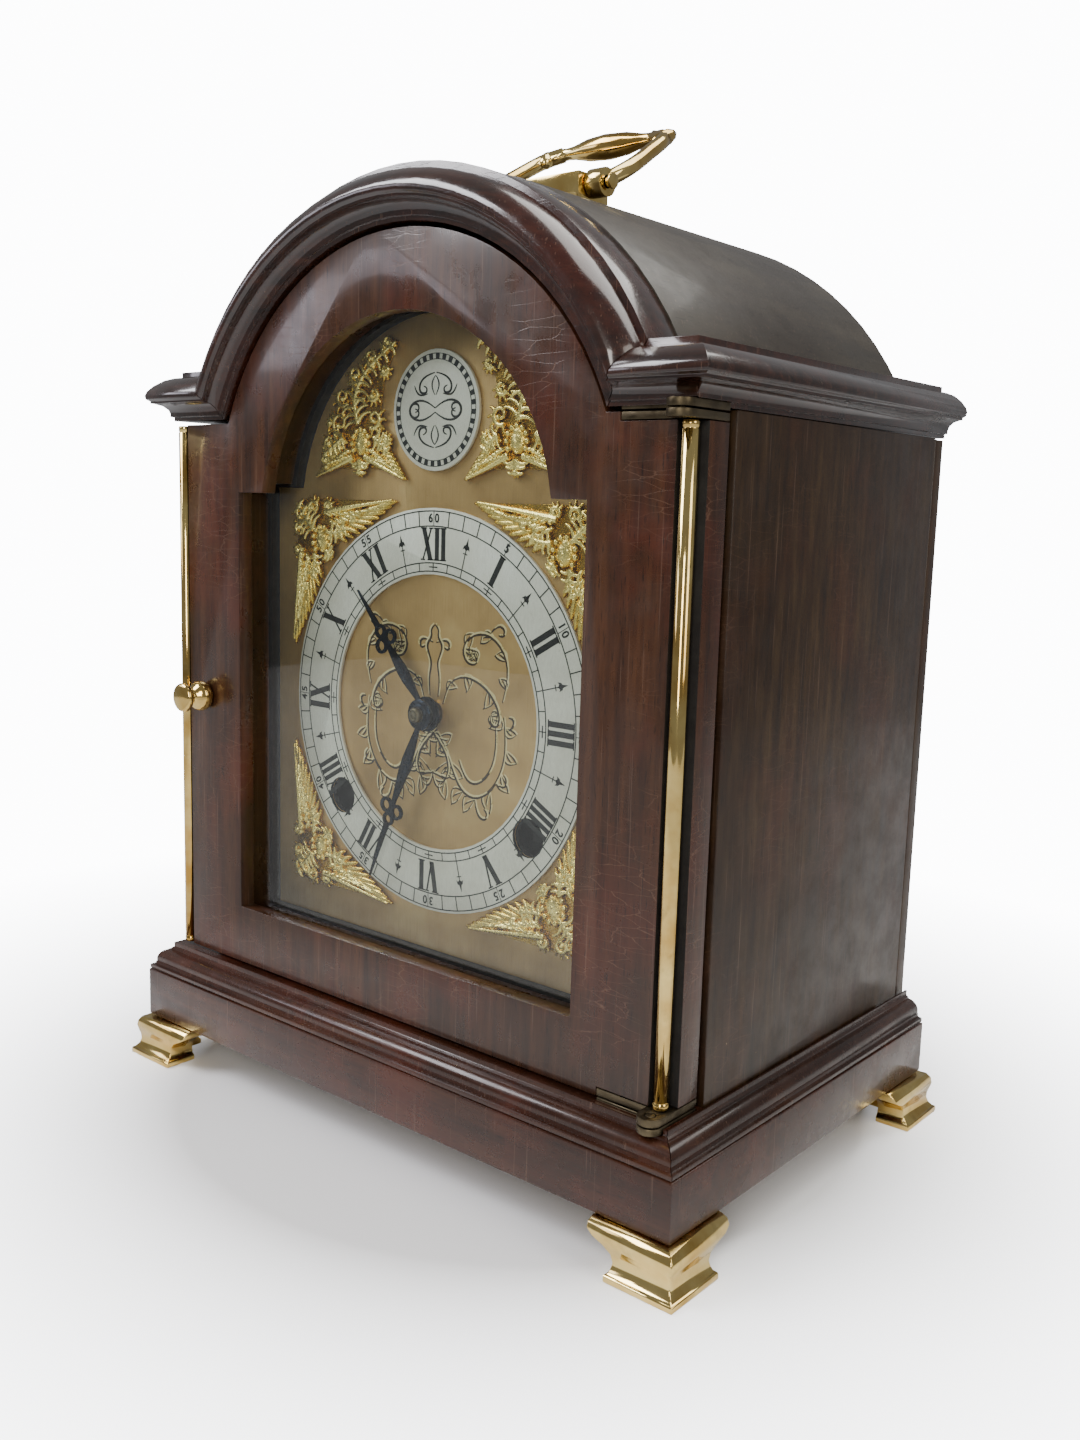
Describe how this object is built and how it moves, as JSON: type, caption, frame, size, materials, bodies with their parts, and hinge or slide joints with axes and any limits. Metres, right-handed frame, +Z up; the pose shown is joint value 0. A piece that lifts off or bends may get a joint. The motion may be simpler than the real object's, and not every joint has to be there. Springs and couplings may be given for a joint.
{
  "type": "bracket clock",
  "caption": "Break-arch bracket clock in a dark mahogany case with brass mounts, silvered chapter ring, hinged front and rear doors, carrying handle and geared movement.",
  "frame": {"origin": "on the ground under the middle of the bounding box", "axes": "+X to the right seen from the front, +Y to the back, +Z up; the dial faces -Y"},
  "size_m": [0.225, 0.1504, 0.3064],
  "materials": {
    "mahogany": "aged french polish, dark red-brown",
    "dark_mahogany": "dull aged polish, darker",
    "pine": "bare softwood",
    "brass": "polished",
    "aged_brass": "tarnished",
    "dial_brass": "satin, lacquered",
    "gilt": "matte gilt casting",
    "silvered": "silvered brass",
    "black_steel": "blackened steel",
    "movement_brass": "grained",
    "steel": "bright",
    "glass": "clear"
  },
  "bodies": {
    "case": {"plinth_block": "mahogany", "base_rail_front": "mahogany", "base_rail_left": "mahogany", "base_rail_right": "mahogany", "side_panel_left": "dark_mahogany", "side_panel_right": "dark_mahogany", "front_frame": "dark_mahogany", "rear_arch_panel": "dark_mahogany", "seat_board": "pine", "cornice_left": "mahogany", "cornice_right": "mahogany", "arch_moulding": "mahogany", "barrel_roof": "mahogany", "foot_front_left": "brass", "foot_front_right": "brass", "foot_rear_left": "brass", "foot_rear_right": "brass", "upper_case_hinge_plate": "aged_brass", "lower_case_hinge_plate": "aged_brass", "rear_pivot_upper": "brass", "rear_pivot_lower": "brass", "handle_base": "brass", "dial_plate": "dial_brass", "chapter_ring": "silvered", "arch_boss": "silvered", "spandrel_top_left": "gilt", "spandrel_top_right": "gilt", "spandrel_bottom_left": "gilt", "spandrel_bottom_right": "gilt", "arch_spandrel_left": "gilt", "arch_spandrel_right": "gilt", "front_plate": "movement_brass", "back_plate": "movement_brass", "rod_gong": "steel"},
    "front_door": {"door_frame": "mahogany", "door_glass": "glass", "left_column": "brass", "right_column": "brass", "door_knob": "brass", "upper_door_hinge_plate": "aged_brass", "lower_door_hinge_plate": "aged_brass"},
    "back_door": {"rear_door": "mahogany"},
    "back_door_catch": {"rear_turn_catch": "brass"},
    "carrying_handle": {"handle": "brass"},
    "centre_arbor": {"centre_wheel": "movement_brass", "minute_hand": "black_steel", "hand_collet": "black_steel"},
    "hour_pipe": {"hour_wheel": "movement_brass", "hour_hand": "black_steel"},
    "minute_wheel_stud": {"minute_wheel": "movement_brass"},
    "intermediate_arbor": {"intermediate_wheel": "movement_brass"},
    "going_drum": {"going_barrel": "movement_brass"},
    "going_winder": {"going_winding_arbor": "steel"},
    "strike_drum": {"strike_barrel": "movement_brass"},
    "strike_winder": {"strike_winding_arbor": "steel"},
    "third_arbor": {"third_wheel": "movement_brass"},
    "escape_arbor": {"escape_wheel": "movement_brass"},
    "anchor_arbor": {"anchor": "steel"},
    "pendulum_swing": {"pendulum": "movement_brass"},
    "hammer_arbor": {"hammer": "movement_brass"}
  },
  "joints": [
    {"name": "front_door_hinge", "type": "hinge", "parent": "case", "child": "front_door", "pos_m": [0.097, -0.065, 0.126], "axis": [0, 0, 1], "range_deg": [0, 115]},
    {"name": "back_door_hinge", "type": "hinge", "parent": "case", "child": "back_door", "pos_m": [0.0972, 0.0693, 0.122], "axis": [0, 0, -1], "range_deg": [0, 115]},
    {"name": "back_door_catch_turn", "type": "hinge", "parent": "back_door", "child": "back_door_catch", "pos_m": [-0.088, 0.0716, 0.124], "axis": [0, -1, 0], "range_deg": [0, 90]},
    {"name": "carrying_handle_swing", "type": "hinge", "parent": "case", "child": "carrying_handle", "pos_m": [0, -0.004, 0.2818], "axis": [1, 0, 0], "range_deg": [0, 118]},
    {"name": "minute_hand_turn", "type": "hinge", "parent": "case", "child": "centre_arbor", "pos_m": [0, -0.03, 0.1286], "axis": [0, 1, 0], "continuous": true},
    {"name": "hour_hand_turn", "type": "hinge", "parent": "case", "child": "hour_pipe", "pos_m": [0, -0.04, 0.1286], "axis": [0, 1, 0], "continuous": true},
    {"name": "minute_wheel_turn", "type": "hinge", "parent": "case", "child": "minute_wheel_stud", "pos_m": [0, -0.038, 0.1146], "axis": [0, 1, 0], "continuous": true},
    {"name": "intermediate_turn", "type": "hinge", "parent": "case", "child": "intermediate_arbor", "pos_m": [0.01925, -0.01, 0.1133], "axis": [0, 1, 0], "continuous": true},
    {"name": "going_barrel_turn", "type": "hinge", "parent": "case", "child": "going_drum", "pos_m": [0.0385, -0.014, 0.098], "axis": [0, 1, 0], "continuous": true},
    {"name": "going_winding", "type": "hinge", "parent": "case", "child": "going_winder", "pos_m": [0.0385, -0.014, 0.098], "axis": [0, 1, 0], "continuous": true},
    {"name": "strike_barrel_turn", "type": "hinge", "parent": "case", "child": "strike_drum", "pos_m": [-0.0385, -0.014, 0.098], "axis": [0, 1, 0], "continuous": true},
    {"name": "strike_winding", "type": "hinge", "parent": "case", "child": "strike_winder", "pos_m": [-0.0385, -0.014, 0.098], "axis": [0, 1, 0], "continuous": true},
    {"name": "third_turn", "type": "hinge", "parent": "case", "child": "third_arbor", "pos_m": [0, -0.02, 0.1496], "axis": [0, 1, 0], "continuous": true},
    {"name": "escape_turn", "type": "hinge", "parent": "case", "child": "escape_arbor", "pos_m": [0, -0.01, 0.1676], "axis": [0, 1, 0], "continuous": true},
    {"name": "pallet_rock", "type": "hinge", "parent": "case", "child": "anchor_arbor", "pos_m": [0, 0.002, 0.1846], "axis": [0, 1, 0], "range_deg": [-4, 4]},
    {"name": "pendulum_rock", "type": "hinge", "parent": "case", "child": "pendulum_swing", "pos_m": [0, 0.017, 0.1846], "axis": [0, 1, 0], "range_deg": [-4, 4]},
    {"name": "hammer_lift", "type": "hinge", "parent": "case", "child": "hammer_arbor", "pos_m": [-0.044, 0.016, 0.092], "axis": [0, 1, 0], "range_deg": [0, 12]}
  ],
  "couplings": [
    {"joint": "hour_hand_turn", "follows": "minute_hand_turn", "ratio": 0.083333},
    {"joint": "minute_wheel_turn", "follows": "minute_hand_turn", "ratio": -0.33333},
    {"joint": "intermediate_turn", "follows": "minute_hand_turn", "ratio": -0.25},
    {"joint": "going_barrel_turn", "follows": "minute_hand_turn", "ratio": 0.0625},
    {"joint": "third_turn", "follows": "minute_hand_turn", "ratio": -5},
    {"joint": "escape_turn", "follows": "minute_hand_turn", "ratio": 20},
    {"joint": "pendulum_rock", "follows": "pallet_rock", "ratio": 1}
  ]
}
